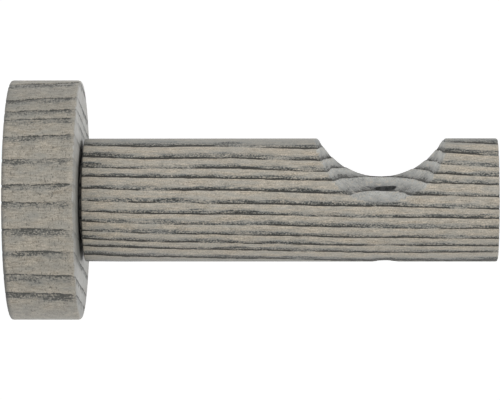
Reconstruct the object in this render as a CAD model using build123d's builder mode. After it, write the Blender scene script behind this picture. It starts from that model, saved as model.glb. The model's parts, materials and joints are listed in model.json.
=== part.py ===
from build123d import *
from math import cos, radians, sin, sqrt
import os

# Curtain pole bracket. A turned wooden arm stands out from a round wooden rosette on the wall and carries
# the pole in a saddle cut near its free end. The origin is the middle of the rosette's back face, +X leads
# from the wall into the room along the arm, +Z is up and the pole lies along Y. Sizes are in millimetres.

# Pole and its saddle
pole_diameter = 28.0
pole_play = 0.75  # gap round the pole in the saddle
pole_reach = 84.0  # wall to the pole's axis
saddle_floor_height = 2.6  # lowest line of the saddle, above the arm's axis
saddle_chamfer = 0.3

# Arm
arm_diameter = 28.0
nose_length = 12.1  # arm left beyond the saddle's rim
shadow_gap = 0.8  # open slit between the arm's shoulder and the rosette
shoulder_chamfer = 0.3
edge_round = 0.6  # free end of the arm and front rim of the rosette

# Screw that holds the pole, driven up through the saddle's floor
screw_hole_diameter = 5.0
screw_hole_offset = 1.0  # outward of the saddle's middle
screw_hole_lean = 11.0  # degrees from upright, along the pole

# Rosette
rosette_diameter = 54.5
rosette_thickness = 16.0
rosette_web = 4.0  # wood left behind the spigot's socket
rosette_back_chamfer = 0.6

# Spigot of the arm, glued into the rosette
spigot_wall = 3.0  # wood round the insert
spigot_clearance = 0.1

# Hanger bolt in the wall and the threaded insert that takes it
bolt_diameter = 8.0
bolt_pitch = 1.25
bolt_clearance = 0.5
bolt_runout = 10.0  # room for the bolt's tip beyond the insert
insert_diameter = 12.0
insert_length = 15.0
insert_recess = 0.5  # below the end of the spigot
insert_clearance = 0.05
insert_chamfer = 0.6
driver_slot_width = 2.0
driver_slot_depth = 2.0

# Derived sizes
arm_radius = arm_diameter / 2
saddle_radius = pole_diameter / 2 + pole_play
pole_height = saddle_floor_height + saddle_radius
rim_drop = max(pole_height - arm_radius, 0)
saddle_half_width = sqrt(saddle_radius**2 - rim_drop**2)
arm_end = pole_reach + saddle_half_width + nose_length
shoulder = rosette_thickness + shadow_gap
insert_seat_radius = insert_diameter / 2 + insert_clearance
insert_seat_depth = insert_recess + insert_length
spigot_radius = insert_seat_radius + spigot_wall
spigot_end = rosette_web
bolt_hole_radius = bolt_diameter / 2 + bolt_clearance
tapping_radius = (bolt_diameter - bolt_pitch) / 2

# Rosette: a turned disc with a blind socket for the spigot and a bolt hole through the web behind it
with BuildPart() as rosette:
    with BuildSketch(Plane.YZ):
        Circle(rosette_diameter / 2)
    extrude(amount=rosette_thickness)
    back_rim, front_rim = rosette.edges().filter_by(GeomType.CIRCLE).sort_by(Axis.X)
    chamfer(back_rim, rosette_back_chamfer)
    fillet(front_rim, edge_round)
    with Locations(Plane.YZ.offset(rosette_thickness)):
        CounterBoreHole(
            radius=bolt_hole_radius,
            counter_bore_radius=spigot_radius + spigot_clearance,
            counter_bore_depth=rosette_thickness - rosette_web,
        )

# Arm: a turned bar with its spigot, a saddle across it for the pole, and the screw hole
with BuildPart() as arm:
    with BuildSketch(Plane.XZ):
        with BuildLine():
            Polyline(
                (spigot_end, 0),
                (spigot_end, spigot_radius),
                (shoulder, spigot_radius),
                (shoulder, arm_radius),
                (arm_end, arm_radius),
                (arm_end, 0),
                close=True,
            )
        make_face()
    revolve(axis=Axis.X)
    outer_rims = arm.faces().filter_by(GeomType.CYLINDER).sort_by(SortBy.AREA)[-1].edges()
    shoulder_rim, free_rim = outer_rims.filter_by(GeomType.CIRCLE).sort_by(Axis.X)
    chamfer(shoulder_rim, shoulder_chamfer)
    fillet(free_rim, edge_round)

    # The saddle is round below the pole's axis and straight above it, so that the pole drops in
    with BuildSketch(Plane.XZ):
        SlotCenterPoint((pole_reach, pole_height + arm_diameter / 2), (pole_reach, pole_height), 2 * saddle_radius)
    extrude(amount=arm_diameter, both=True, mode=Mode.SUBTRACT)
    chamfer(arm.edges(Select.LAST), saddle_chamfer)

    lean = radians(screw_hole_lean)
    screw_entry = (pole_reach + screw_hole_offset, 0, saddle_floor_height)
    with Locations(Plane(screw_entry, x_dir=(1, 0, 0), z_dir=(0, sin(lean), cos(lean)))):
        Hole(screw_hole_diameter / 2)

    with Locations(Plane((spigot_end, 0, 0), x_dir=(0, 1, 0), z_dir=(-1, 0, 0))):
        CounterBoreHole(
            radius=bolt_hole_radius,
            counter_bore_radius=insert_seat_radius,
            counter_bore_depth=insert_seat_depth,
            depth=insert_seat_depth + bolt_runout,
        )

# Threaded insert: a metal sleeve in the spigot's end, slotted for a screwdriver
with BuildPart() as threaded_insert:
    insert_face = Plane.YZ.offset(spigot_end + insert_recess)
    with BuildSketch(insert_face):
        Circle(insert_diameter / 2)
        Circle(tapping_radius, mode=Mode.SUBTRACT)
    extrude(amount=insert_length)
    outer_rims = threaded_insert.edges().filter_by(GeomType.CIRCLE).group_by(SortBy.RADIUS)[-1]
    chamfer(outer_rims, insert_chamfer)
    with BuildSketch(insert_face):
        Rectangle(insert_diameter, driver_slot_width)
    extrude(amount=driver_slot_depth, mode=Mode.SUBTRACT)

rosette.part.label = "rosette"
arm.part.label = "arm"
threaded_insert.part.label = "threaded_insert"

os.makedirs("parts", exist_ok=True)
export_step(rosette.part, "parts/rosette.step")
export_step(arm.part, "parts/arm.step")
export_step(threaded_insert.part, "parts/threaded_insert.step")
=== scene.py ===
import json
import math
from dataclasses import dataclass

import bmesh
import bpy
import numpy as np
from mathutils import Matrix, Vector, noise


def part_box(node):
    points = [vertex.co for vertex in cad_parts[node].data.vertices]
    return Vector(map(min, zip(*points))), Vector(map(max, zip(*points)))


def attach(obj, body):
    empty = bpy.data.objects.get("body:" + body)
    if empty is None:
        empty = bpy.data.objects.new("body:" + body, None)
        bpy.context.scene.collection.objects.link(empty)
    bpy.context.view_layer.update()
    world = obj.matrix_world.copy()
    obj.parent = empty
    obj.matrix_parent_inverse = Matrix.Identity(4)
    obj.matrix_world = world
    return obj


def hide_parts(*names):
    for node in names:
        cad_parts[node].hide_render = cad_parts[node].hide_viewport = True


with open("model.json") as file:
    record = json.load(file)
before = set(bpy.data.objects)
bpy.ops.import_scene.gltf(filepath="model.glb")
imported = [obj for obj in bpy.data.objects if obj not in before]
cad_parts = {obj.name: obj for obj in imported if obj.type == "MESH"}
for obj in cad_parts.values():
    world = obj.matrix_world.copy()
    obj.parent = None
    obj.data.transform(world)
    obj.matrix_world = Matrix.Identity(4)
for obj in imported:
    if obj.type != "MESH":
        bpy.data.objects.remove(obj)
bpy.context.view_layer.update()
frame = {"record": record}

# Curtain pole bracket: a turned wooden rosette and arm with a brushed, grey glazed finish, and a brass
# insert. Shapes are worked out in millimetres, in the frame of the solids, and written to the meshes in
# metres.
MM = 0.001


# Sizes read from the frame
def node_box(name):
    """Lowest and highest corner of a solid, in millimetres."""
    low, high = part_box(name)
    return np.array(low) / MM, np.array(high) / MM


def mount(name):
    """Place, axis and dimensions of a mount, in millimetres."""
    found = next(m for m in frame["record"]["mounts"] if m["name"] == name)
    return np.array(found["pos_m"]) / MM, np.array(found["axis"]), found["dims"]


arm_low, arm_high = node_box("arm")
_, rosette_high = node_box("rosette")
insert_low, insert_high = node_box("threaded_insert")
saddle_centre, _, saddle_dims = mount("pole_saddle")
screw_centre, screw_axis, screw_dims = mount("pole_screw_hole")
_, _, bolt_hole_dims = mount("wall_bolt_hole")
_, _, bolt_thread_dims = mount("wall_bolt_thread")

arm_radius = arm_high[2]
arm_end = arm_high[0]
spigot_end = arm_low[0]
rosette_radius = rosette_high[2]
rosette_face = rosette_high[0]
rosette_web = bolt_hole_dims["length_mm"]
saddle_radius = saddle_dims["r_mm"]
saddle_floor = saddle_centre[2] - saddle_radius
screw_radius = screw_dims["r_mm"]
bolt_hole_radius = bolt_hole_dims["r_mm"]
tapping_radius = bolt_thread_dims["r_mm"]
insert_radius = insert_high[2]

# Sizes that the frame's boxes and mounts do not give
SHADOW_GAP = 0.8  # open slit between the arm's shoulder and the rosette
EDGE_ROUND = 0.6  # back rim of the rosette and the arm's free end
FRONT_ROUND = 0.95  # front rim of the rosette, rubbed rounder
SADDLE_ROUND = 0.5  # rim of the saddle
SHOULDER_ROUND = 0.3  # rim of the arm at the slit
SPIGOT_RADIUS = 9.05
SOCKET_RADIUS = 9.15
INSERT_SEAT_RADIUS = 6.05
BOLT_RUNOUT = 10.0  # hole behind the insert for the bolt's tip
BOLT_RADIUS = 4.0
BOLT_PITCH = 1.25
INSERT_PITCH = 3.0  # coarse thread that holds the insert in the wood
INSERT_THREAD_DEPTH = 0.6
INSERT_CHAMFER = 0.6
DRIVER_SLOT_WIDTH = 2.0
DRIVER_SLOT_DEPTH = 2.0
SCREW_MOUTH_FLARE = 0.5  # worn edge round the lower mouth of the screw hole

shoulder = rosette_face + SHADOW_GAP


# Grain
@dataclass
class Grain:
    """Where the growth rings of a piece lie. Each starts with a dark line of pores, sharp at its start."""

    fibre: np.ndarray  # direction of the fibres
    growth: np.ndarray  # direction across the rings, from a line's sharp edge into its pores
    lines: list  # places of the sharp edges along that direction, in order
    run: list  # X at which the drift of the lines is given
    drift_high: list  # how far they have slipped back there, at the far end of the growth direction
    drift_low: list  # the same at its near end
    span: float  # where those ends lie, on both sides of the middle
    bow: float  # curve of the rings, falling away on both sides of their middle
    wander: float  # waviness of the lines
    swell_seed: tuple  # chooses where the lines are strong and where they are faint
    faintest: float  # strength that a line keeps there
    bold: dict  # lines that are stronger than the rest, by their number, and how much
    groove: float  # width of the groove brushed along each line
    groove_depth: float
    cut_groove: float  # the same where a face is cut across the rings
    cut_groove_depth: float


ARM_RING_TILT = math.radians(9.8)
ROSETTE_RING_TILT = math.radians(21.0)

# The arm's lines and drifts were fitted to the dark lines in the photograph, and rounded to 0.1 mm
arm_grain = Grain(
    fibre=np.array([1.0, 0.0, 0.0]),
    growth=np.array([0.0, math.sin(ARM_RING_TILT), math.cos(ARM_RING_TILT)]),
    lines=[
        -18.3, -16.2, -14.2, -11.9, -9.7, -8.1, -6.2, -3.9, -1.6,
        0.8, 3.5, 6.1, 8.1, 10.2, 12.6, 14.9, 17.2,
    ],
    run=[17.0, 30.0, 52.0, 62.0, 78.0, 94.0, 110.0],
    drift_high=[0.0, 0.2, 0.2, 0.5, 0.9, 1.3, 2.1],
    drift_low=[0.0, 0.7, 1.1, 1.3, 1.7, 1.7, 1.7],
    span=11.0, bow=0.0015, wander=0.16,
    swell_seed=(50.6, 96.4, 115.2), faintest=0.1, bold={2: 1.5, 3: 1.4},
    groove=0.65, groove_depth=0.08, cut_groove=1.5, cut_groove_depth=0.18,
)
rosette_grain = Grain(
    fibre=np.array([0.0, math.cos(ROSETTE_RING_TILT), -math.sin(ROSETTE_RING_TILT)]),
    growth=np.array([0.0, -math.sin(ROSETTE_RING_TILT), -math.cos(ROSETTE_RING_TILT)]),
    lines=[
        -31.5, -28.3, -25.1, -20.3, -17.2, -15.0, -10.9, -5.4,
        0.4, 4.3, 10.1, 14.7, 19.6, 23.1, 28.3, 32.0,
    ],
    run=[0.0, 16.0],
    drift_high=[0.3, -0.3],
    drift_low=[-0.5, 0.5],
    span=22.0, bow=0.0, wander=0.3,
    swell_seed=(62.4, 109.5, 90.5), faintest=0.45, bold={2: 1.5},
    groove=0.8, groove_depth=0.22, cut_groove=0.6, cut_groove_depth=0.06,
)

# Waves of the lines, from long to short: share of the wander, size along the fibres, along the rings and
# across the rings, and seed
WAVES = (
    (1.0, (16.0, 9.0, 3.0), 3.7),
    (0.5, (5.0, 3.0, 2.0), 11.3),
    (0.25, (1.6, 0.8, 0.8), 23.9),
)

# Strength of the dark lines, and how it swells along them
USUAL_VIGOUR = 0.95
STRONGEST = 1.25
LONG_SWELL = 0.6
LONG_SWELL_SIZE = (17.0, 8.0, 1.3)
SHORT_SWELL = 0.35
SHORT_SWELL_SIZE = (5.0, 3.0, 1.0)
SHORT_SWELL_SEED = 57.7


def noise_field(points, size, seed):
    """Smooth noise of about -0.7 to 0.7 at each point, with blobs of that size along the three axes."""
    places = points / np.array(size) + np.array(seed)
    return np.array([noise.noise(place) for place in places.tolist()])


def grain_place(grain, points):
    """Each point along the fibres, along the rings and across the rings."""
    side = np.cross(grain.growth, grain.fibre)
    return points @ np.column_stack([grain.fibre, side, grain.growth])


def ring_coordinate(grain, points):
    """Ring number of each point, its fraction growing from 0 at one dark line's edge to 1 at the next."""
    place = grain_place(grain, points)
    high = np.clip((place[:, 2] + grain.span) / (2 * grain.span), 0.0, 1.0)
    across = place[:, 2] + grain.bow * place[:, 1] ** 2
    across = across + high * np.interp(points[:, 0], grain.run, grain.drift_high)
    across = across + (1.0 - high) * np.interp(points[:, 0], grain.run, grain.drift_low)
    for share, size, seed in WAVES:
        across = across + share * grain.wander * noise_field(place, size, seed)
    return np.interp(across, grain.lines, np.arange(len(grain.lines)))


def ring_width(grain, ring):
    """Width of the ring that each ring number lies in."""
    widths = np.diff(grain.lines)
    return widths[np.clip(ring.astype(int), 0, len(widths) - 1)]


def line_vigour(grain, points, ring):
    """Strength of the dark lines, which comes and goes along them."""
    place = grain_place(grain, points)
    long_swell = LONG_SWELL * noise_field(place, LONG_SWELL_SIZE, grain.swell_seed)
    short_swell = SHORT_SWELL * noise_field(place, SHORT_SWELL_SIZE, SHORT_SWELL_SEED)
    boldness = np.ones(len(grain.lines))
    for number, strength in grain.bold.items():
        boldness[number] = strength
    vigour = boldness[ring.astype(int)] * (USUAL_VIGOUR + long_swell + short_swell)
    return np.clip(vigour, grain.faintest, STRONGEST)


# Meshes
JOIN_DISTANCE = 0.004  # points nearer than this are one point
ROUND_ROWS = 3  # over a rounded rim


def clean(mesh):
    """Joins points that coincide and drops faces without area."""
    shape = bmesh.new()
    shape.from_mesh(mesh)
    bmesh.ops.remove_doubles(shape, verts=shape.verts, dist=JOIN_DISTANCE * MM)
    bmesh.ops.dissolve_degenerate(shape, edges=shape.edges, dist=JOIN_DISTANCE * MM)
    bmesh.ops.recalc_face_normals(shape, faces=shape.faces)
    shape.to_mesh(mesh)
    shape.free()


def write_mesh(name, vertices, faces):
    """A closed mesh from points in millimetres, with points that coincide joined."""
    mesh = bpy.data.meshes.new(name)
    mesh.from_pydata((vertices * MM).tolist(), [], faces.tolist())
    clean(mesh)
    piece = bpy.data.objects.new(name, mesh)
    bpy.context.scene.collection.objects.link(piece)
    return piece


def turned(name, rows, angles, closed=False):
    """A mesh turned about X from rows of (x, radius) pairs, one pair for each angle from +Z towards +Y."""
    x, radius = rows[..., 0], rows[..., 1]
    vertices = np.stack([x, radius * np.sin(angles), radius * np.cos(angles)], axis=-1).reshape(-1, 3)
    row_count, column_count = x.shape
    row = np.arange(row_count if closed else row_count - 1)[:, None]
    column = np.arange(column_count)[None, :]
    next_row = (row + 1) % row_count
    next_column = (column + 1) % column_count
    corners = [
        row * column_count + column,
        next_row * column_count + column,
        next_row * column_count + next_column,
        row * column_count + next_column,
    ]
    return write_mesh(name, vertices, np.stack(corners, axis=-1).reshape(-1, 4))


def cut(piece, cutter):
    """Takes the cutter's shape out of the piece and removes the cutter."""
    modifier = piece.modifiers.new("cut", "BOOLEAN")
    modifier.operation = "DIFFERENCE"
    modifier.solver = "MANIFOLD"
    modifier.object = cutter
    graph = bpy.context.evaluated_depsgraph_get()
    mesh = bpy.data.meshes.new_from_object(piece.evaluated_get(graph))
    piece.modifiers.clear()
    clean(mesh)
    piece.data = mesh
    bpy.data.objects.remove(cutter)


def even_angles(count):
    return np.linspace(0.0, 2 * math.pi, count, endpoint=False)


def pair(x, radius):
    """Pairs of x and radius, where either may be one number for all."""
    return np.stack(np.broadcast_arrays(np.asarray(x, float), np.asarray(radius, float)), axis=-1)


def level_row(angles, x, radius):
    """A row of pairs that are the same at every angle."""
    return pair(np.full(len(angles), x), radius)


def quarter_round(start, corner, end, count):
    """Rows of a rounded corner between start and end, which leave along both sides of the corner."""
    t = np.linspace(0.0, 1.0, count + 2)[1:-1].reshape((-1,) + (1,) * start.ndim)
    return (1 - t) ** 2 * start + 2 * t * (1 - t) * corner + t**2 * end


def straight(start, end, count):
    """Rows of points from start to end, both included."""
    t = np.linspace(0.0, 1.0, count).reshape((-1,) + (1,) * start.ndim)
    return (1 - t) * start + t * end


def smooth_step(values, start, end):
    """0 up to start, rising smoothly to 1 at end."""
    share = np.clip((values - start) / (end - start), 0.0, 1.0)
    return share * share * (3 - 2 * share)


def fade_out(values, start, end):
    """1 up to start, falling smoothly to 0 at end."""
    return 1.0 - smooth_step(values, start, end)


def off_axis(points):
    """Distance of each point from the X axis."""
    return np.hypot(points[:, 1], points[:, 2])


# Surfaces
FAR_FROM_CUT = 4.0  # distances from a cut face are kept up to this
GROOVE_BLEND = 0.5  # distance over which a cut face's grooves change into the others


@dataclass
class Surface:
    """What was done to the surface of a piece, and where shade and highlights are painted on it, at each of
    its points.
    """

    cut_distance: np.ndarray  # how far it lies from the nearest cut face
    soaked: np.ndarray  # painted shade in the slit, the screw hole and along the back edge, and a dark tail out of the screw hole
    glazed: np.ndarray  # painted sheen and shade: greyer where the surface turns away at the top and bottom, darker beside the arm and low on the rosette's face
    rubbed: np.ndarray  # worn, with its dark lines faded, and given a painted highlight, on the rosette's front rim and upper face
    tooled: np.ndarray  # its place along the cutter's path and across it


def surface_points(mesh):
    """Points of a mesh in millimetres, and their normals."""
    points = np.empty(3 * len(mesh.vertices), np.float32)
    normals = np.empty(3 * len(mesh.vertices), np.float32)
    mesh.vertices.foreach_get("co", points)
    mesh.vertices.foreach_get("normal", normals)
    return points.reshape(-1, 3).astype(float) / MM, normals.reshape(-1, 3).astype(float)


def write_values(mesh, name, values):
    """Writes one number or one vector for each point to the mesh."""
    kind, field = ("FLOAT", "value") if values.ndim == 1 else ("FLOAT_VECTOR", "vector")
    mesh.attributes.new(name, kind, "POINT").data.foreach_set(field, values.astype(np.float32).ravel())


def brush_grain(piece, grain, surface_at):
    """Writes the grain and the surface to the mesh, and brushes grooves along the dark lines."""
    mesh = piece.data
    points, normals = surface_points(mesh)
    surface = surface_at(points)
    ring = ring_coordinate(grain, points)
    width = ring_width(grain, ring)
    # Wear and the painted highlight fade the dark lines
    vigour = line_vigour(grain, points, ring) * (1.0 - surface.rubbed)
    growth = {"ring": ring, "ring_width": width, "vigour": vigour, "place": grain_place(grain, points)}
    for name, values in (growth | vars(surface)).items():
        write_values(mesh, name, values)
    from_edge = (ring % 1.0) * width
    on_cut = fade_out(surface.cut_distance, 0.0, GROOVE_BLEND)
    groove_width = grain.groove + (grain.cut_groove - grain.groove) * on_cut
    groove_depth = grain.groove_depth + (grain.cut_groove_depth - grain.groove_depth) * on_cut
    groove = np.clip(1.0 - from_edge / groove_width, 0.0, 1.0) * np.clip(vigour, 0.0, 1.0)
    # No grooves are brushed where shade is painted in the slit and the hole
    depth = groove * groove_depth * (1.0 - surface.soaked)
    brushed = (points - normals * depth[:, None]) * MM
    mesh.vertices.foreach_set("co", brushed.astype(np.float32).ravel())
    mesh.update()


WOOD_SHARP_ANGLE = 40.0  # degrees; edges sharper than this are not shaded smooth
BRASS_SHARP_ANGLE = 35.0


def smooth_faces(piece, sharp_angle):
    piece.data.shade_smooth()
    piece.data.set_sharp_from_angle(angle=math.radians(sharp_angle))


def finish_piece(piece, node, material):
    piece.data.materials.clear()
    piece.data.materials.append(material)
    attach(piece, "root")
    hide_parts(node)


# Arm
SADDLE_COLUMNS = 150  # on each side, from the top to where the saddle's rim is lowest
PLAIN_COLUMNS = 250  # round the rest of the arm
SHOULDER_ROWS = 8  # over the shoulder's face
NECK_ROWS = 58  # along the arm before the saddle
SADDLE_ROWS = 96  # down into the saddle and up again
NOSE_ROWS = 24  # along the arm beyond the saddle
END_ROWS = 14  # over the end face
ROUND_SHARE = 0.3  # most of the saddle's half width that its rounded rim takes
HOLE_COLUMNS = 72
HOLE_ROWS = 30
FLARE_ROWS = 3
HOLE_OVERRUN = 8.0  # length of the cutter beyond the screw hole, both ends together

RIM_WEIGHT = 2.0  # distance past the end face's rim counts this many times
HOLE_FADE = (0.02, 0.12)  # of the painted shade in the screw hole, beyond its wall
SLIT_FADE = 0.5  # under the arm's surface, where the slit's painted shade starts to fade
SHOULDER_SLACK = 0.01  # takes in the points of the shoulder's face
# Painted shade in the slit, on the arm's shoulder
ARM_SLIT_SHADE = 0.6
SCREW_TAIL = 2.2  # dark tail drawn out of the screw hole's upper mouth, towards the wall
SCREW_TAIL_SIDE = 1.2  # off the arm's middle
TAIL_HALF_WIDTH = 0.9
TAIL_FADE = 0.35
# Painted sheen along the top of the arm, painted shade and sheen along its bottom
TOP_SHEEN = 0.5
TOP_SHEEN_RISE = (12.2, 13.4)  # across the rings, from the arm's axis
BOTTOM_SHADE_AND_SHEEN = 0.6
BOTTOM_SHADE_AND_SHEEN_RISE = (12.0, 13.6)


def arm_angles():
    """Angles of the arm's columns from +Z, close together where the saddle's rim runs along the arm."""
    lowest = math.acos(saddle_floor / arm_radius)
    side = lowest * np.sin(np.linspace(0.0, math.pi / 2, SADDLE_COLUMNS))
    plain = np.linspace(lowest, 2 * math.pi - lowest, PLAIN_COLUMNS)[1:-1]
    return np.concatenate([side, plain, 2 * math.pi - side[:0:-1]])


def saddle_rows(angles):
    """Rows from the saddle's near rim down to its floor and up to its far rim."""
    upright = np.cos(angles)
    crossing = upright > saddle_floor / arm_radius
    turn_cosine = np.where(crossing, (saddle_centre[2] - arm_radius * upright) / saddle_radius, 1.0)
    rim_turn = np.arccos(np.clip(turn_cosine, -1.0, 1.0))
    safe_upright = np.where(crossing, upright, 1.0)

    def saddle_row(turn):
        height = saddle_centre[2] - saddle_radius * np.cos(turn)
        radius = np.where(crossing, height / safe_upright, arm_radius)
        return pair(saddle_centre[0] + saddle_radius * np.sin(turn), radius)

    reach = saddle_radius * np.sin(rim_turn)
    edge = np.minimum(SADDLE_ROUND, ROUND_SHARE * reach)
    inner_turn = rim_turn - edge / saddle_radius
    near_rim = pair(saddle_centre[0] - reach - edge, arm_radius)
    near_corner = pair(saddle_centre[0] - reach, arm_radius)
    far_corner = pair(saddle_centre[0] + reach, arm_radius)
    far_rim = pair(saddle_centre[0] + reach + edge, arm_radius)
    floor = np.array([saddle_row(turn) for turn in straight(-inner_turn, inner_turn, SADDLE_ROWS)])
    return np.concatenate([
        near_rim[None],
        quarter_round(near_rim, near_corner, floor[0], ROUND_ROWS),
        floor,
        quarter_round(floor[-1], far_corner, far_rim, ROUND_ROWS),
        far_rim[None],
    ])


def wall_end_rows(angles):
    """Rows from the bolt's hole through the insert's seat and along the spigot to the shoulder."""
    seat_end = insert_high[0]
    profile = [
        (seat_end + BOLT_RUNOUT, 0.0),
        (seat_end + BOLT_RUNOUT, bolt_hole_radius),
        (seat_end, bolt_hole_radius),
        (seat_end, INSERT_SEAT_RADIUS),
        (spigot_end, INSERT_SEAT_RADIUS),
        (spigot_end, SPIGOT_RADIUS),
        (shoulder, SPIGOT_RADIUS),
    ]
    return np.array([level_row(angles, x, radius) for x, radius in profile])


def arm_rows(angles):
    """Rows from the bolt's hole inside the spigot to the middle of the end face."""
    wall_end = wall_end_rows(angles)
    saddle = saddle_rows(angles)
    shoulder_edge = level_row(angles, shoulder, arm_radius - SHOULDER_ROUND)
    shoulder_corner = level_row(angles, shoulder, arm_radius)
    neck_start = level_row(angles, shoulder + SHOULDER_ROUND, arm_radius)
    nose_end = level_row(angles, arm_end - EDGE_ROUND, arm_radius)
    end_corner = level_row(angles, arm_end, arm_radius)
    end_edge = level_row(angles, arm_end, arm_radius - EDGE_ROUND)
    return np.concatenate([
        wall_end,
        straight(wall_end[-1], shoulder_edge, SHOULDER_ROWS)[1:],
        quarter_round(shoulder_edge, shoulder_corner, neck_start, ROUND_ROWS),
        straight(neck_start, saddle[0], NECK_ROWS)[:-1],
        saddle,
        straight(saddle[-1], nose_end, NOSE_ROWS)[1:],
        quarter_round(nose_end, end_corner, end_edge, ROUND_ROWS),
        straight(end_edge, level_row(angles, arm_end, 0.0), END_ROWS),
    ])


def screw_cutter(name, centre, radii, length, rows):
    """A round bar along the screw hole's axis, with its radius at the start and at the end."""
    angles = even_angles(HOLE_COLUMNS)
    start, end = -length / 2, length / 2
    profile = np.concatenate([
        level_row(angles, start, 0.0)[None],
        straight(level_row(angles, start, radii[0]), level_row(angles, end, radii[1]), rows),
        level_row(angles, end, 0.0)[None],
    ])
    cutter = turned(name, profile, angles)
    place = Vector(screw_axis).to_track_quat("X", "Z").to_matrix().to_4x4()
    place.translation = Vector(centre * MM)
    cutter.data.transform(place)
    return cutter


def screw_mouth():
    """Where the screw hole's axis meets the arm's surface at its lower mouth."""
    along = screw_centre[1:] @ screw_axis[1:]
    to_mouth = math.sqrt(along**2 + arm_radius**2 - screw_centre[1:] @ screw_centre[1:]) - along
    return screw_centre + to_mouth * screw_axis


def cut_screw_hole(piece):
    """Cuts the screw hole, and a cone of 45 degrees that flares its lower mouth."""
    length = screw_dims["length_mm"] + HOLE_OVERRUN
    hole = screw_cutter("screw_hole_cutter", screw_centre, (screw_radius, screw_radius), length, HOLE_ROWS)
    cut(piece, hole)
    mouth_radius = screw_radius + SCREW_MOUTH_FLARE
    reach = 2 * SCREW_MOUTH_FLARE
    radii = (mouth_radius - reach, mouth_radius + reach)
    cut(piece, screw_cutter("screw_mouth_cutter", screw_mouth(), radii, 2 * reach, FLARE_ROWS))


def arm_cut_distance(points):
    """The saddle and the end face are cut faces."""
    from_pole = np.hypot(points[:, 0] - saddle_centre[0], points[:, 2] - saddle_centre[2])
    past_end_face = off_axis(points) - (arm_radius - EDGE_ROUND)
    from_end = np.maximum(arm_end - points[:, 0], RIM_WEIGHT * past_end_face)
    return np.clip(np.minimum(from_pole - saddle_radius, from_end), 0.0, FAR_FROM_CUT)


def screw_tail(points):
    """A tapering dark tail on the saddle's floor, from the screw hole towards the wall."""
    from_hole = screw_centre[0] - screw_radius - points[:, 0]
    half_width = TAIL_HALF_WIDTH * (1.0 - from_hole / SCREW_TAIL)
    in_tail = fade_out(np.abs(points[:, 1] - SCREW_TAIL_SIDE), half_width, half_width + TAIL_FADE)
    along_tail = (from_hole > -screw_radius) & (from_hole < SCREW_TAIL)
    return in_tail * along_tail * (points[:, 2] > 0.0)


def arm_painted_shade_and_tail(points):
    """Painted shade fills the screw hole and the slit at the rosette, and a dark tail runs out of the hole.
    """
    from_screw = np.linalg.norm(np.cross(points - screw_centre, screw_axis), axis=1)
    in_hole = fade_out(from_screw, screw_radius + HOLE_FADE[0], screw_radius + HOLE_FADE[1])
    on_shoulder = points[:, 0] < shoulder + SHOULDER_SLACK
    in_slit = fade_out(off_axis(points), arm_radius - SLIT_FADE, arm_radius) * on_shoulder
    return np.maximum(np.maximum(in_hole, screw_tail(points)), ARM_SLIT_SHADE * in_slit)


def arm_sheen_and_shade(points):
    """Painted sheen greys the top of the arm, and painted shade and sheen darken and grey its bottom."""
    across = points @ arm_grain.growth
    top = TOP_SHEEN * smooth_step(across, *TOP_SHEEN_RISE)
    return top + BOTTOM_SHADE_AND_SHEEN * smooth_step(-across, *BOTTOM_SHADE_AND_SHEEN_RISE)


def arm_tool_path(points):
    """Down one flank of the saddle and up the other, along the pole, and outwards."""
    out = points[:, 0] - saddle_centre[0]
    down = saddle_centre[2] - points[:, 2]
    return np.column_stack([saddle_radius * np.arctan2(out, down), points[:, 1], np.hypot(out, down)])


def arm_surface(points):
    return Surface(
        cut_distance=arm_cut_distance(points),
        soaked=arm_painted_shade_and_tail(points),
        glazed=arm_sheen_and_shade(points),
        rubbed=np.zeros(len(points)),
        tooled=arm_tool_path(points),
    )


def make_arm(material):
    angles = arm_angles()
    piece = turned("arm_wood_turned", arm_rows(angles), angles)
    cut_screw_hole(piece)
    brush_grain(piece, arm_grain, arm_surface)
    smooth_faces(piece, WOOD_SHARP_ANGLE)
    finish_piece(piece, "arm", material)


# Rosette
ROSETTE_COLUMNS = 880
RIM_ROWS = 34
FRONT_ROUND_ROWS = 5
FACE_ROWS = 28
SOCKET_FLOOR_ROWS = 4
BOLT_HOLE_ROWS = 5
SOCKET_WALL_ROWS = 6

BACK_CUT_OFFSET = 0.5  # the back looks as if its cut face lay this far behind it
SLIT_SPREAD = 0.3  # how far the slit's painted shade spreads past the arm's surface
# Painted shade in the slit, on the rosette's face
ROSETTE_SLIT_SHADE = 0.2
BACK_EDGE_SHADE = 0.45  # painted shade along the back edge
LOW_BACK_EDGE_SHADE = 0.35  # added to it in the lower half
LOW_BACK_RISE = (-12.0, 12.0)  # downwards from the middle
BACK_EDGE_SHADE_FADE = (0.3, 0.9)  # forwards from the back
BACK_EDGE_SHADE_WIDTH = 1.5  # inwards from the rim
RIM_BAND = 1.0  # what lies this near to the rim's radius counts to the rim
RIM_SHEEN = 0.3  # painted grey sheen towards the rim's top and bottom
RIM_SHEEN_RISE = (18.0, 26.0)  # height above and below the middle
ARM_SHADE_START = 2.0  # beyond the arm's surface, where the painted shade there starts to fade
ARM_SHADE_END = 0.5  # inside the rim, where it ends
ARM_SHADE_FADE = (9.0, 14.0)  # height above and below the middle
OUTER_SHADE = 0.35  # painted shade on the outer part of the face, but not at its top
OUTER_SHADE_WIDTH = 6.0
OUTER_SHADE_FADE = (12.0, 22.0)  # height
LOW_SHADE = 0.2  # more painted shade added to it low on the face
LOW_SHADE_RISE = (14.0, 24.0)  # downwards from the middle
# Wear and a painted highlight on the front rim
RIM_WEAR_AND_HIGHLIGHT = 0.45
RIM_WEAR_AND_HIGHLIGHT_FADE = (0.5, 1.5)  # away from the front rim
# Painted highlight on the upper half of the face's near side, which also fades its lines
FACE_HIGHLIGHT = 0.55
FACE_HIGHLIGHT_DEPTH = 0.3
NEAR_SIDE_FADE = (-14.0, 10.0)  # along Y
UPPER_HALF_RISE = (-8.0, 8.0)  # height


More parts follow.
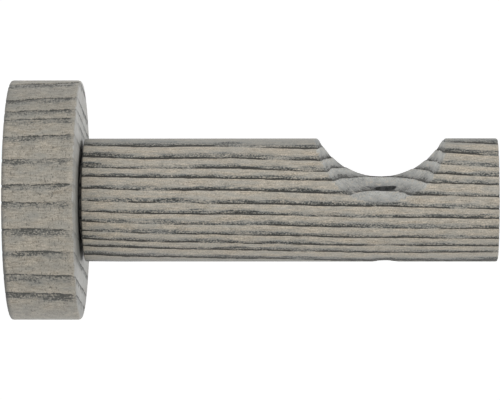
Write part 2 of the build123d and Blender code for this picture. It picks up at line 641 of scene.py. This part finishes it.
def rosette_rows(angles):
    """Rows once round the section, from the socket's floor over the back and the rim."""
    def row(x, radius):
        return level_row(angles, x, radius)

    socket_floor = row(rosette_web, SOCKET_RADIUS)
    hole_front = row(rosette_web, bolt_hole_radius)
    hole_back = row(0.0, bolt_hole_radius)
    back_edge = row(0.0, rosette_radius - EDGE_ROUND)
    rim_back = row(EDGE_ROUND, rosette_radius)
    rim_front = row(rosette_face - FRONT_ROUND, rosette_radius)
    front_edge = row(rosette_face, rosette_radius - FRONT_ROUND)
    socket_mouth = row(rosette_face, SOCKET_RADIUS)
    return np.concatenate([
        straight(socket_floor, hole_front, SOCKET_FLOOR_ROWS),
        straight(hole_front, hole_back, BOLT_HOLE_ROWS)[1:],
        straight(hole_back, back_edge, FACE_ROWS)[1:],
        quarter_round(back_edge, row(0.0, rosette_radius), rim_back, ROUND_ROWS),
        straight(rim_back, rim_front, RIM_ROWS),
        quarter_round(rim_front, row(rosette_face, rosette_radius), front_edge, FRONT_ROUND_ROWS),
        straight(front_edge, socket_mouth, FACE_ROWS),
        straight(socket_mouth, socket_floor, SOCKET_WALL_ROWS)[1:-1],
    ])


def rosette_cut_distance(points):
    """The front and the back are cut faces."""
    from_front = rosette_face - points[:, 0]
    return np.clip(np.minimum(from_front, points[:, 0] + BACK_CUT_OFFSET), 0.0, FAR_FROM_CUT)


def rosette_painted_shade(points):
    """Painted shade fills the slit at the arm and lies along the back edge, more in its lower half."""
    from_middle = off_axis(points)
    in_slit = fade_out(from_middle, arm_radius - SLIT_FADE, arm_radius + SLIT_SPREAD)
    in_slit = in_slit * (points[:, 0] > rosette_web)
    at_rim = smooth_step(from_middle, rosette_radius - BACK_EDGE_SHADE_WIDTH, rosette_radius)
    at_back = fade_out(points[:, 0], *BACK_EDGE_SHADE_FADE) * at_rim
    low = smooth_step(-points[:, 2], *LOW_BACK_RISE)
    return np.maximum(ROSETTE_SLIT_SHADE * in_slit, (BACK_EDGE_SHADE + LOW_BACK_EDGE_SHADE * low) * at_back)


def rosette_sheen_and_shade(points):
    """Painted grey sheen at the rim's top and bottom, and painted shade on the face beside the arm, outside
    and low.
    """
    from_middle = off_axis(points)
    height = points[:, 2]
    on_rim = smooth_step(from_middle, rosette_radius - RIM_BAND, rosette_radius)
    on_face = (points[:, 0] > rosette_web) * (1.0 - on_rim)
    rim_ends = RIM_SHEEN * smooth_step(np.abs(height), *RIM_SHEEN_RISE)
    beside_arm = fade_out(from_middle, arm_radius + ARM_SHADE_START, rosette_radius - ARM_SHADE_END)
    beside_arm = beside_arm * fade_out(np.abs(height), *ARM_SHADE_FADE)
    outer = OUTER_SHADE * smooth_step(from_middle, rosette_radius - OUTER_SHADE_WIDTH, rosette_radius)
    outer = outer * fade_out(height, *OUTER_SHADE_FADE)
    low = LOW_SHADE * smooth_step(-height, *LOW_SHADE_RISE)
    return np.maximum(on_rim * rim_ends, on_face * np.maximum(beside_arm, outer + low))


def rosette_wear_and_highlight(points):
    """The front rim is worn smooth and given a painted highlight, and the upper half of the face on its near
    side a painted highlight; both fade the dark lines.
    """
    from_rim = np.maximum(rosette_face - points[:, 0], rosette_radius - off_axis(points))
    at_rim = RIM_WEAR_AND_HIGHLIGHT * fade_out(from_rim, *RIM_WEAR_AND_HIGHLIGHT_FADE)
    on_face = FACE_HIGHLIGHT * smooth_step(points[:, 0], rosette_face - FACE_HIGHLIGHT_DEPTH, rosette_face)
    near_side = fade_out(points[:, 1], *NEAR_SIDE_FADE) * smooth_step(points[:, 2], *UPPER_HALF_RISE)
    return np.maximum(at_rim, on_face * near_side)


def rosette_tool_path(points):
    """Round the disc, outwards and through it."""
    around = np.arctan2(points[:, 1], points[:, 2])
    return np.column_stack([rosette_radius * around, off_axis(points), points[:, 0]])


def rosette_surface(points):
    return Surface(
        cut_distance=rosette_cut_distance(points),
        soaked=rosette_painted_shade(points),
        glazed=rosette_sheen_and_shade(points),
        rubbed=rosette_wear_and_highlight(points),
        tooled=rosette_tool_path(points),
    )


def make_rosette(material):
    angles = even_angles(ROSETTE_COLUMNS)
    piece = turned("rosette_wood_turned", rosette_rows(angles), angles, closed=True)
    brush_grain(piece, rosette_grain, rosette_surface)
    smooth_faces(piece, WOOD_SHARP_ANGLE)
    finish_piece(piece, "rosette", material)


# Threaded insert
INSERT_COLUMNS = 96
THREAD_ROWS = 160
SLEEVE_ROWS = 90
THREAD_SLOPE = 2.4  # steepness of a thread's flanks
THREAD_FLAT = 0.1  # flattens its root

insert_front = insert_low[0]
insert_back = insert_high[0]


def thread_wave(x, angles, pitch):
    """Height of a thread from 0 at its root to 1 at its crest, along a helix of that pitch."""
    turn = (x[:, None] / pitch - angles[None, :] / (2 * math.pi)) % 1.0
    return np.clip(THREAD_SLOPE * np.abs(turn - 0.5) - THREAD_FLAT, 0.0, 1.0)


def run_in(x, pitch):
    """Rises from 0 at both ends of a thread to 1, over one pitch."""
    return np.clip(np.minimum(x - x.min(), x.max() - x) / pitch, 0.0, 1.0)[:, None]


def bore_rows(angles):
    """Rows through the threaded bore, from the back to the front."""
    x = np.linspace(insert_back, insert_front, THREAD_ROWS)
    thread = thread_wave(x, angles, BOLT_PITCH) * run_in(x, BOLT_PITCH)
    return pair(x[:, None], BOLT_RADIUS - (BOLT_RADIUS - tapping_radius) * thread)


def sleeve_rows(angles):
    """Rows along the outside, from the front to the back."""
    x = np.linspace(insert_front + INSERT_CHAMFER, insert_back - INSERT_CHAMFER, SLEEVE_ROWS)
    root = INSERT_THREAD_DEPTH * (1.0 - thread_wave(x, angles, INSERT_PITCH)) * run_in(x, INSERT_PITCH)
    return pair(x[:, None], insert_radius - root)


def driver_slot_cutter():
    """A block across the insert's front end, for the screwdriver's slot."""
    half_size = np.array([DRIVER_SLOT_DEPTH, 2 * insert_radius, DRIVER_SLOT_WIDTH / 2])
    low_corner = np.array([insert_front, 0.0, 0.0]) - half_size
    corners = np.array([[x, y, z] for x in (0, 1) for y in (0, 1) for z in (0, 1)])
    sides = np.array([[0, 1, 3, 2], [4, 6, 7, 5], [0, 4, 5, 1], [2, 3, 7, 6], [0, 2, 6, 4], [1, 5, 7, 3]])
    return write_mesh("driver_slot_cutter", low_corner + 2 * half_size * corners, sides)


def make_insert(material):
    angles = even_angles(INSERT_COLUMNS)
    chamfered = insert_radius - INSERT_CHAMFER
    rows = np.concatenate([
        bore_rows(angles),
        level_row(angles, insert_front, chamfered)[None],
        sleeve_rows(angles),
        level_row(angles, insert_back, chamfered)[None],
    ])
    piece = turned("threaded_insert_brass", rows, angles, closed=True)
    cut(piece, driver_slot_cutter())
    smooth_faces(piece, BRASS_SHARP_ANGLE)
    finish_piece(piece, "threaded_insert", material)


# Finishes
MIX_SHARE, MIX_FIRST, MIX_SECOND = 0, 6, 7  # inputs of a colour mix
MIX_COLOUR = 2  # its output
NOISE_SPAN = 0.2  # most noise lies this near to 0.5


def srgb(red, green, blue):
    """A colour written as it looks on screen, from 0 to 255, as the linear value that a shader takes."""
    def linear(value):
        share = value / 255
        return share / 12.92 if share <= 0.04045 else ((share + 0.055) / 1.055) ** 2.4
    return (linear(red), linear(green), linear(blue), 1.0)


class Graph:
    """Short calls for building a node tree. An input's value may be a number, a colour or a socket."""

    def __init__(self, tree):
        self.tree = tree
        tree.nodes.clear()

    def node(self, kind, inputs, **settings):
        made = self.tree.nodes.new(kind)
        for name, value in settings.items():
            setattr(made, name, value)
        for key, value in inputs.items():
            if isinstance(value, bpy.types.NodeSocket):
                self.tree.links.new(value, made.inputs[key])
            else:
                made.inputs[key].default_value = value
        return made

    def attribute(self, name, output="Fac"):
        """A value that was written to the mesh."""
        return self.node("ShaderNodeAttribute", {}, attribute_name=name).outputs[output]

    def math(self, operation, first, second=0.0):
        return self.node("ShaderNodeMath", {0: first, 1: second}, operation=operation).outputs[0]

    def add(self, first, second):
        return self.math("ADD", first, second)

    def take(self, first, second):
        return self.math("SUBTRACT", first, second)

    def times(self, first, second):
        return self.math("MULTIPLY", first, second)

    def ramp(self, value, start, end, first=0.0, last=1.0, shape="LINEAR"):
        """The value drawn from first at start to last at end, in a straight line."""
        inputs = {"Value": value, "From Min": start, "From Max": end, "To Min": first, "To Max": last}
        return self.node("ShaderNodeMapRange", inputs, interpolation_type=shape).outputs["Result"]

    def smooth(self, value, start, end, first=0.0, last=1.0):
        """The same as a smooth step."""
        return self.ramp(value, start, end, first, last, "SMOOTHSTEP")

    def spread(self, value, first=0.0, last=1.0, span=NOISE_SPAN):
        """Noise about 0.5 drawn out from first to last."""
        return self.ramp(value, 0.5 - span, 0.5 + span, first, last)

    def mix(self, share, first, second):
        inputs = {MIX_SHARE: share, MIX_FIRST: first, MIX_SECOND: second}
        return self.node("ShaderNodeMix", inputs, data_type="RGBA").outputs[MIX_COLOUR]

    def noise(self, place, size, detail, roughness=0.55):
        """Noise with blobs of that size along the three axes of the place."""
        scale = tuple(1 / s for s in size)
        scaled = self.node("ShaderNodeVectorMath", {0: place, 1: scale}, operation="MULTIPLY")
        inputs = {"Vector": scaled.outputs[0], "Scale": 1.0, "Detail": detail, "Roughness": roughness}
        return self.node("ShaderNodeTexNoise", inputs).outputs["Fac"]

    def surface(self, inputs, bump):
        """Ends a material with a shader of those inputs and a bump."""
        normal = self.node("ShaderNodeBump", bump).outputs[0]
        shader = self.node("ShaderNodeBsdfPrincipled", {**inputs, "Normal": normal})
        self.node("ShaderNodeOutputMaterial", {"Surface": shader.outputs[0]})


def new_material(name):
    """A material and the graph of its empty node tree."""
    material = bpy.data.materials.new(name)
    material.use_nodes = True
    return material, Graph(material.node_tree)


# Wood
@dataclass
class WoodLook:
    """How the finish of a wooden piece differs from the other's. Sizes are in millimetres."""

    edge: float  # width of the dark core at the start of a line
    core: float  # density that the core adds
    body: float  # where its pores have faded out
    fill: float  # density of the pores before that
    stray: float  # density of the pores beyond
    haze: float  # how far the glaze greys a line
    blur: float  # softness of a pore's edge
    dash: tuple  # size of a pore's dash
    speck: tuple  # size of a pore's speck
    fleck: tuple  # size of a lone dark fleck between the lines
    flecks: float  # strength of those flecks
    fibre: tuple  # size of a fibre's streak
    cloud: tuple  # size of a cloud in the glaze
    cloudy: float  # strength of the clouds
    grit: float  # share of fine grit in the ground's texture, the rest being streaks
    dark: tuple
    glaze: tuple  # grey left in the early wood, and the tone of the painted sheen and shade
    tan: tuple
    pale: tuple
    bloom: tuple  # grey that clouds the ground
    cut: tuple  # tone of a cut face
    cut_pale: tuple
    cut_deep: tuple  # its tone in the early wood
    cut_shade: float  # share of a ring that takes that tone
    cut_soft: float  # how far the dark lines are softened there
    cut_reach: float  # how far the look of a cut face spreads past its rim
    tear: float  # how far its ragged border wanders
    fringe: float  # paleness of that border
    tool_mark: tuple  # size of a mark that the cutter left there


# What both wooden finishes share. Noise has its sizes along the fibres, along the rings and across the
# rings, or along the cutter's path and across it.
SHAKE = 0.03  # share of a ring by which its start is shaken
SHAKE_SIZE = (2.4, 0.5, 0.4)
LINE_WIDTHS = (0.65, 1.35)  # narrowest and widest that a line runs
LINE_WIDTH_SIZE = (9.0, 4.0, 1.3)
RING_WIDTHS = (1.5, 2.6)  # a narrow and a wide ring
RING_LINES = (0.78, 1.04)  # how wide their lines are
TORN_SIZE = (0.9, 2.0, 1.2)
BORDER = 0.2  # half the width of a cut face's border
DASHES, SPECKS = 0.45, 0.55  # their shares in the granules of the pores
BODY_FADE = 0.65  # share of a line's body from which its pores fade
CORE_FADE = (0.5, 1.5)  # shares of the core's width over which it fades
BREAK_SIZE = (8.0, 2.0, 1.2)
BREAK_RISE = (0.36, 0.54)  # noise from a broken core to a whole one
PORE_WEIGHT = 1.3  # weight of the pores' density against the granules
PORE_LEVEL = 1.3  # sum of both at which a pore is half dark
GRIT_SIZE = (0.3, 0.24, 0.24)
FIBRE_SPAN, GRIT_SPAN, RAY_SPAN = 0.16, 0.18, 0.15
WIDE_SPAN, WIDEST_SPAN = 0.25, 0.3
RAY_SIZE = (1.6, 0.3, 3.0)
RAYS = 0.15
HAZE_FADE = (0.6, 1.25)  # shares of a line's body over which its haze fades
HAZE_PATCHES = (0.2, 1.5)  # weakest and strongest
# weakest and strongest patches of the painted sheen and shade
SHEEN_AND_SHADE_PATCHES = (0.5, 1.2)
LATE_WOOD = (0.6, 1.0)  # last part of a ring
LATE_PALE = 0.08
FLECK_RISE = (0.58, 0.7)
# share of paleness from wear and the painted highlight
WEAR_AND_HIGHLIGHT_PALE = 0.2
GRAINY_SHADE = 0.5  # how far granules roughen a cut face's shade
PATCH_SIZE = (3.0, 8.0, 3.0)
PATCHES, TOOL_MARKS = 0.35, 0.65  # their shares in a cut face's paleness
FRINGE_PEAK = 4  # makes the middle of a border 1
PORE_STRENGTH = 0.92
# Tones of the painted shade in the slit, the screw hole and along the back edge, and of the hole's dark tail
SHADE_AND_TAIL_DARK = srgb(46, 47, 48)
SHADE_AND_TAIL_PALE = srgb(96, 97, 97)
TEXTURE_RELIEF = 0.4
WOOD_BUMP = 0.3
WOOD_BUMP_HEIGHT = 0.08
WOOD_ROUGHNESS = 0.5
PORE_ROUGHNESS = 0.25  # added to it
WOOD_SPECULAR = 0.5


class WoodFinish:
    """The finish of a wooden piece, which reads the values that brush_grain wrote to the mesh."""

    def __init__(self, name, look):
        self.look = look
        self.material, self.g = new_material(name)
        self.place = self.g.attribute("place", "Vector")
        self.tooled = self.g.attribute("tooled", "Vector")
        self.vigour = self.g.attribute("vigour")
        self.glazed = self.g.attribute("glazed")
        self.find_rings()
        self.find_cut_faces()
        self.find_granules()
        self.find_pores()
        self.find_texture()

    def find_rings(self):
        """Where a point lies in its ring, and how far into the line at its start."""
        g = self.g
        shake = g.spread(g.noise(self.place, SHAKE_SIZE, detail=2.0), -SHAKE, SHAKE, WIDE_SPAN)
        self.fraction = g.math("FRACT", g.add(g.attribute("ring"), shake))
        width = g.attribute("ring_width")
        self.from_edge = g.times(self.fraction, width)
        line_width = g.spread(g.noise(self.place, LINE_WIDTH_SIZE, detail=1.0), *LINE_WIDTHS)
        line_width = g.times(line_width, g.ramp(width, *RING_WIDTHS, *RING_LINES))
        self.into_line = g.math("DIVIDE", self.from_edge, line_width)

    def find_cut_faces(self):
        """Cut faces have a ragged border, where the cutter has torn the fibres."""
        g, look = self.g, self.look
        self.torn = g.noise(self.tooled, TORN_SIZE, detail=3.0, roughness=0.65)
        ragged = g.add(g.attribute("cut_distance"), g.spread(self.torn, -look.tear, look.tear, WIDE_SPAN))
        self.cut = g.smooth(ragged, look.cut_reach - BORDER, look.cut_reach + BORDER, 1.0, 0.0)

    def find_granules(self):
        """Dashes along the fibres and specks, and on cut faces the cutter's marks instead."""
        g, look = self.g, self.look
        dashes = g.spread(g.noise(self.place, look.dash, detail=2.0, roughness=0.6), 0.0, DASHES)
        specks = g.spread(g.noise(self.place, look.speck, detail=1.0), 0.0, SPECKS)
        self.tool_marks = g.spread(g.noise(self.tooled, look.tool_mark, detail=3.0, roughness=0.7))
        self.granules = g.ramp(self.cut, 0.0, 1.0, g.add(dashes, specks), self.tool_marks)

    def find_pores(self):
        """Dark pores are dense through the first part of a ring, and densest at its start."""
        g, look = self.g, self.look
        body = g.smooth(self.into_line, BODY_FADE * look.body, look.body, look.fill, look.stray)
        whole = g.smooth(g.noise(self.place, BREAK_SIZE, detail=2.0), *BREAK_RISE)
        start, end = (share * look.edge for share in CORE_FADE)
        core = g.times(g.smooth(self.from_edge, start, end, look.core, 0.0), whole)
        density = g.times(g.add(body, core), self.vigour)
        filled = g.add(self.granules, g.times(density, PORE_WEIGHT))
        self.pores = g.ramp(filled, PORE_LEVEL - look.blur, PORE_LEVEL + look.blur)

    def find_texture(self):
        """Fine fibres and grit."""
        g, look = self.g, self.look
        fibres = g.spread(g.noise(self.place, look.fibre, detail=3.0, roughness=0.7), span=FIBRE_SPAN)
        grit = g.spread(g.noise(self.place, GRIT_SIZE, detail=1.0), span=GRIT_SPAN)
        self.texture = g.add(g.times(fibres, 1.0 - look.grit), g.times(grit, look.grit))

    def turned_ground(self):
        """Ground between the lines, with rays across the rings, clouds, grey glaze in the early wood, and
        painted sheen, shade and highlight.
        """
        g, look = self.g, self.look
        rays = g.spread(g.noise(self.place, RAY_SIZE, detail=2.0), span=RAY_SPAN)
        clouds = g.spread(g.noise(self.place, look.cloud, detail=3.0))
        start, end = (share * look.body for share in HAZE_FADE)
        early = g.smooth(self.into_line, start, end, look.haze, 0.0)
        patchy = g.times(g.spread(self.granules, *HAZE_PATCHES, WIDE_SPAN), self.vigour)
        flecks = g.smooth(g.noise(self.place, look.fleck, detail=2.0), *FLECK_RISE, 0.0, look.flecks)
        layers = (
            (g.times(rays, RAYS), look.glaze),
            (g.times(clouds, look.cloudy), look.bloom),
            (g.times(early, patchy), look.glaze),
            (g.smooth(self.fraction, *LATE_WOOD, 0.0, LATE_PALE), look.pale),
            (flecks, look.dark),
            # painted sheen and shade
            (g.times(self.glazed, g.spread(self.granules, *SHEEN_AND_SHADE_PATCHES, WIDEST_SPAN)), look.glaze),
            # wear and painted highlight
            (g.times(g.attribute("rubbed"), WEAR_AND_HIGHLIGHT_PALE), look.pale),
        )
        ground = g.mix(self.texture, look.tan, look.pale)
        for share, tone in layers:
            ground = g.mix(share, ground, tone)
        return ground

    def cut_ground(self):
        """Ground of a cut face, shaded from the dark start of each ring to its pale end."""
        g, look = self.g, self.look
        grainy = g.take(self.fraction, g.times(g.take(self.granules, 0.5), GRAINY_SHADE))
        shade = g.times(g.smooth(grainy, 0.0, look.cut_shade, 1.0, 0.0), self.vigour)
        patches = g.spread(g.noise(self.tooled, PATCH_SIZE, detail=2.0))
        paleness = g.add(g.times(patches, PATCHES), g.times(self.tool_marks, TOOL_MARKS))
        ground = g.mix(paleness, look.cut, look.cut_pale)
        ground = g.mix(shade, ground, look.cut_deep)
        # Painted sheen and shade over the cut face, in the glaze's grey
        return g.mix(self.glazed, ground, look.glaze)

    def colour(self):
        """The ground with its pores, and painted shade in the slit, the screw hole and along the back edge,
        with the hole's dark tail.
        """
        g, look = self.g, self.look
        ground = g.mix(self.cut, self.turned_ground(), self.cut_ground())
        fringe = g.times(self.cut, g.take(1.0, self.cut))
        ground = g.mix(g.times(fringe, FRINGE_PEAK * look.fringe), ground, look.cut_pale)
        softened = g.take(PORE_STRENGTH, g.times(self.cut, look.cut_soft))
        colour = g.mix(g.times(self.pores, softened), ground, look.dark)
        # Painted shade, and the screw hole's dark tail
        stain = g.mix(g.spread(self.torn), SHADE_AND_TAIL_DARK, SHADE_AND_TAIL_PALE)
        return g.mix(g.attribute("soaked"), colour, stain)

    def build(self):
        g = self.g
        relief = g.take(g.times(self.texture, TEXTURE_RELIEF), self.pores)
        bump = {"Strength": WOOD_BUMP, "Distance": WOOD_BUMP_HEIGHT * MM, "Height": relief}
        inputs = {
            "Base Color": self.colour(),
            "Roughness": g.add(WOOD_ROUGHNESS, g.times(self.pores, PORE_ROUGHNESS)),
            "Specular IOR Level": WOOD_SPECULAR,
        }
        g.surface(inputs, bump)
        return self.material


arm_look = WoodLook(
    edge=0.3, core=0.7, body=1.05, fill=0.56, stray=0.08, haze=0.8, blur=0.3,
    dash=(3.0, 0.34, 0.22), speck=(0.4, 0.3, 0.26), fleck=(1.2, 0.3, 0.25), flecks=0.2,
    fibre=(2.0, 0.22, 0.2), cloud=(6.0, 1.4, 0.9), cloudy=0.6, grit=0.5,
    dark=srgb(47, 45, 40), glaze=srgb(105, 112, 113), tan=srgb(119, 108, 90),
    pale=srgb(233, 220, 200), bloom=srgb(164, 166, 162),
    cut=srgb(90, 91, 87), cut_pale=srgb(223, 223, 217), cut_deep=srgb(84, 85, 82),
    cut_shade=0.82, cut_soft=0.25, cut_reach=0.25, tear=0.8, fringe=0.15,
    tool_mark=(0.36, 1.4, 0.4),
)
rosette_look = WoodLook(
    edge=0.25, core=0.4, body=1.4, fill=0.56, stray=0.2, haze=0.75, blur=0.22,
    dash=(2.4, 1.3, 0.26), speck=(1.2, 0.42, 0.3), fleck=(1.1, 0.4, 0.6), flecks=0.65,
    fibre=(2.2, 1.8, 0.32), cloud=(6.0, 5.0, 1.8), cloudy=0.65, grit=0.4,
    dark=srgb(77, 77, 73), glaze=srgb(117, 118, 114), tan=srgb(113, 104, 88),
    pale=srgb(214, 204, 187), bloom=srgb(144, 145, 140),
    cut=srgb(170, 170, 167), cut_pale=srgb(210, 210, 207), cut_deep=srgb(104, 105, 103),
    cut_shade=0.35, cut_soft=0.25, cut_reach=0.1, tear=0.3, fringe=0.0,
    tool_mark=(2.0, 1.2, 1.0),
)

# Brass
BRASS_DULL = srgb(206, 172, 104)
BRASS_BRIGHT = srgb(226, 196, 130)
BRASS_STAIN = srgb(150, 116, 66)
STAINED = 0.35
STAIN_SIZE = 3.0
STAIN_RISE = (0.4, 0.7)
TURNING_PITCH = 0.12  # from one mark of the lathe to the next
TURNING_LENGTH = 6.0
BRASS_BUMP = 0.15
BRASS_BUMP_HEIGHT = 0.02
BRASS_ROUGHNESS = 0.28
STAIN_ROUGHNESS = 0.2  # added to it


def brass():
    material, g = new_material("turned_brass")
    place = g.node("ShaderNodeTexCoord", {}).outputs["Object"]
    turning = g.noise(place, (TURNING_PITCH * MM, TURNING_LENGTH * MM, TURNING_LENGTH * MM), detail=2.0)
    stain = g.smooth(g.noise(place, (STAIN_SIZE * MM,) * 3, detail=3.0), *STAIN_RISE)
    clean_brass = g.mix(turning, BRASS_DULL, BRASS_BRIGHT)
    bump = {"Strength": BRASS_BUMP, "Distance": BRASS_BUMP_HEIGHT * MM, "Height": turning}
    inputs = {
        "Base Color": g.mix(g.times(stain, STAINED), clean_brass, BRASS_STAIN),
        "Metallic": 1.0,
        "Roughness": g.add(BRASS_ROUGHNESS, g.times(stain, STAIN_ROUGHNESS)),
    }
    g.surface(inputs, bump)
    return material


make_arm(WoodFinish("glazed_arm_wood", arm_look).build())
make_rosette(WoodFinish("glazed_rosette_wood", rosette_look).build())
make_insert(brass())


# Floor, light and camera
WHITE = (1.0, 1.0, 1.0, 1.0)
FLOOR_HEIGHT = -0.16  # metres, low enough to keep the shadow out of the picture
FLOOR_SIZE = 12.0  # metres
FLOOR_TONE = 0.85  # what the floor throws back up at the bracket
FLOOR_LIFT = 0.42  # what makes it look white where it is fully lit

# Light tent: axis, the two places along it between which the light changes, and its strength at both
TENT = (
    ("Z", 0.1, 1.0, 1.0, 0.72),  # dimmer overhead
    ("Y", -0.8, 0.8, 1.22, 0.72),  # brighter in front than behind
    ("X", -0.9, -0.3, 0.65, 1.0),  # dimmer on the wall's side
    ("X", 0.2, 0.9, 1.0, 0.86),  # and on the side of the room
)


def background_rays(g):
    """1 for rays that see the background: straight from the camera, or by reflection or through glass."""
    path = g.node("ShaderNodeLightPath", {})
    seen = g.math("MAXIMUM", path.outputs["Is Camera Ray"], path.outputs["Is Glossy Ray"])
    return g.math("MAXIMUM", seen, path.outputs["Is Transmission Ray"])


def floor_material():
    """Pale paint that looks white where it is fully lit, and is clear from below."""
    material, g = new_material("pale_floor")
    paint = g.node("ShaderNodeBsdfDiffuse", {"Color": (FLOOR_TONE, FLOOR_TONE, FLOOR_TONE, 1.0)})
    lift = g.node("ShaderNodeEmission", {"Color": WHITE, "Strength": FLOOR_LIFT})
    white = g.node("ShaderNodeAddShader", {0: paint.outputs[0], 1: lift.outputs[0]})
    seen = g.node("ShaderNodeMixShader", {0: background_rays(g), 1: paint.outputs[0], 2: white.outputs[0]})
    below = g.node("ShaderNodeNewGeometry", {}).outputs["Backfacing"]
    clear = g.node("ShaderNodeBsdfTransparent", {})
    shader = g.node("ShaderNodeMixShader", {0: below, 1: seen.outputs[0], 2: clear.outputs[0]})
    g.node("ShaderNodeOutputMaterial", {"Surface": shader.outputs[0]})
    return material


def make_floor():
    """A pale floor that keeps the bracket's shadow."""
    half = FLOOR_SIZE / 2
    signs = ((-1, -1), (1, -1), (1, 1), (-1, 1))
    mesh = bpy.data.meshes.new("floor")
    mesh.from_pydata([(x * half, y * half, FLOOR_HEIGHT) for x, y in signs], [], [(0, 1, 2, 3)])
    floor = bpy.data.objects.new("floor", mesh)
    bpy.context.scene.collection.objects.link(floor)
    mesh.materials.append(floor_material())


def make_world():
    """A white light tent, brighter in front and darker overhead and to both sides."""
    world = bpy.data.worlds.new("light_tent")
    bpy.context.scene.world = world
    world.use_nodes = True
    g = Graph(world.node_tree)
    direction = g.node("ShaderNodeTexCoord", {}).outputs["Generated"]
    axes = g.node("ShaderNodeSeparateXYZ", {0: direction})
    strength = 1.0
    for axis, *limits in TENT:
        strength = g.times(strength, g.smooth(axes.outputs[axis], *limits))
    lit = g.node("ShaderNodeBackground", {"Color": WHITE, "Strength": strength})
    white = g.node("ShaderNodeBackground", {"Color": WHITE, "Strength": 1.0})
    shown = g.node("ShaderNodeMixShader", {0: background_rays(g), 1: lit.outputs[0], 2: white.outputs[0]})
    g.node("ShaderNodeOutputWorld", {"Surface": shown.outputs[0]})


CAMERA_AZIMUTH = math.radians(1.6)
CAMERA_ELEVATION = math.radians(12.7)
CAMERA_ROLL = math.radians(-0.37)
CAMERA_DISTANCE = 835.6
CAMERA_TARGET = np.array([54.25, 0.0, 0.0])
CAMERA_LENS = 264.5
CAMERA_SENSOR = 36.0


def make_camera():
    """The camera at the photograph's viewing angle."""
    az, el, roll = CAMERA_AZIMUTH, CAMERA_ELEVATION, CAMERA_ROLL
    back = np.array([math.sin(az) * math.cos(el), -math.cos(az) * math.cos(el), math.sin(el)])
    right = np.array([math.cos(az), math.sin(az), 0.0])
    up = np.cross(back, right)
    rolled_right = right * math.cos(roll) + up * math.sin(roll)
    rolled_up = up * math.cos(roll) - right * math.sin(roll)
    place = np.eye(4)
    place[:3, :3] = np.column_stack([rolled_right, rolled_up, back])
    place[:3, 3] = (CAMERA_TARGET + back * CAMERA_DISTANCE) * MM
    data = bpy.data.cameras.new("photo_camera")
    data.lens = CAMERA_LENS
    data.sensor_width = CAMERA_SENSOR
    camera = bpy.data.objects.new("photo_camera", data)
    bpy.context.scene.collection.objects.link(camera)
    camera.matrix_world = Matrix(place.tolist())
    bpy.context.scene.camera = camera


make_floor()
make_world()
make_camera()
bpy.context.scene.view_settings.view_transform = "Standard"
